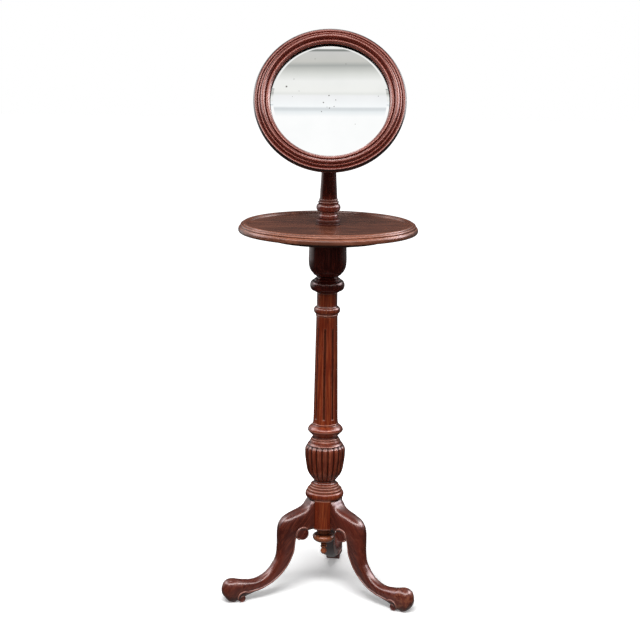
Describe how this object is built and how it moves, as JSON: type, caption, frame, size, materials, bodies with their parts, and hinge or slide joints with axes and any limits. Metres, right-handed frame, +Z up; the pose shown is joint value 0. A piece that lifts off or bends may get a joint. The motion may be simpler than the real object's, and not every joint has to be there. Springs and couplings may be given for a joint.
{
  "type": "shaving stand with tilting mirror and table",
  "caption": "Free-standing shaving stand: turned and fluted pillar on a cabriole tripod, small round dished table, and a round tilting mirror on a turned post.",
  "frame": {"origin": "on the floor, in the middle of the stand's bounding box", "axes": "+Z up the pillar, -Y towards the user, which is the way the mirror faces, and +X to the right in the front view"},
  "size_m": [0.4888, 0.504, 1.443],
  "materials": {
    "mahogany": "French polished mahogany, red brown",
    "mahogany_table": "French polished mahogany, a little lighter",
    "pine": "aged unpolished softwood",
    "brass": "aged, lightly tarnished brass",
    "leather": "dark oiled leather",
    "mirror": "silvered plate glass, slightly foxed"
  },
  "bodies": {
    "stand": {"leg_left": "mahogany", "leg_right": "mahogany", "leg_back": "mahogany", "base_block": "mahogany", "drop_finial": "mahogany", "lobed_baluster": "mahogany", "fluted_shaft": "mahogany", "capital": "mahogany", "capital_screws": "brass", "table_bearer": "mahogany", "bearer_screws": "brass", "tabletop": "mahogany_table", "post_plinth": "mahogany"},
    "post": {"mirror_post": "mahogany", "tilt_fork": "brass", "pivot_bolt": "brass", "leather_washers": "leather"},
    "nut": {"clamp_nut": "brass"},
    "mirror": {"tilt_tongue": "brass", "tongue_screws": "brass", "backboard": "pine", "backboard_screws": "brass", "glazing_blocks": "pine", "mirror_glass": "mirror", "mirror_frame": "mahogany"}
  },
  "joints": [
    {"name": "post_swivel", "type": "hinge", "parent": "stand", "child": "post", "pos_m": [0.01481, -0.02638, 0.9668], "axis": [0, 0, 1], "continuous": true},
    {"name": "mirror_tilt", "type": "hinge", "parent": "post", "child": "mirror", "pos_m": [0.01481, -0.02638, 1.2533], "axis": [-1, 0, 0], "range_deg": [-29, 45]},
    {"name": "clamp_nut_turn", "type": "hinge", "parent": "post", "child": "nut", "pos_m": [0.02831, -0.02638, 1.2533], "axis": [1, 0, 0], "continuous": true}
  ]
}
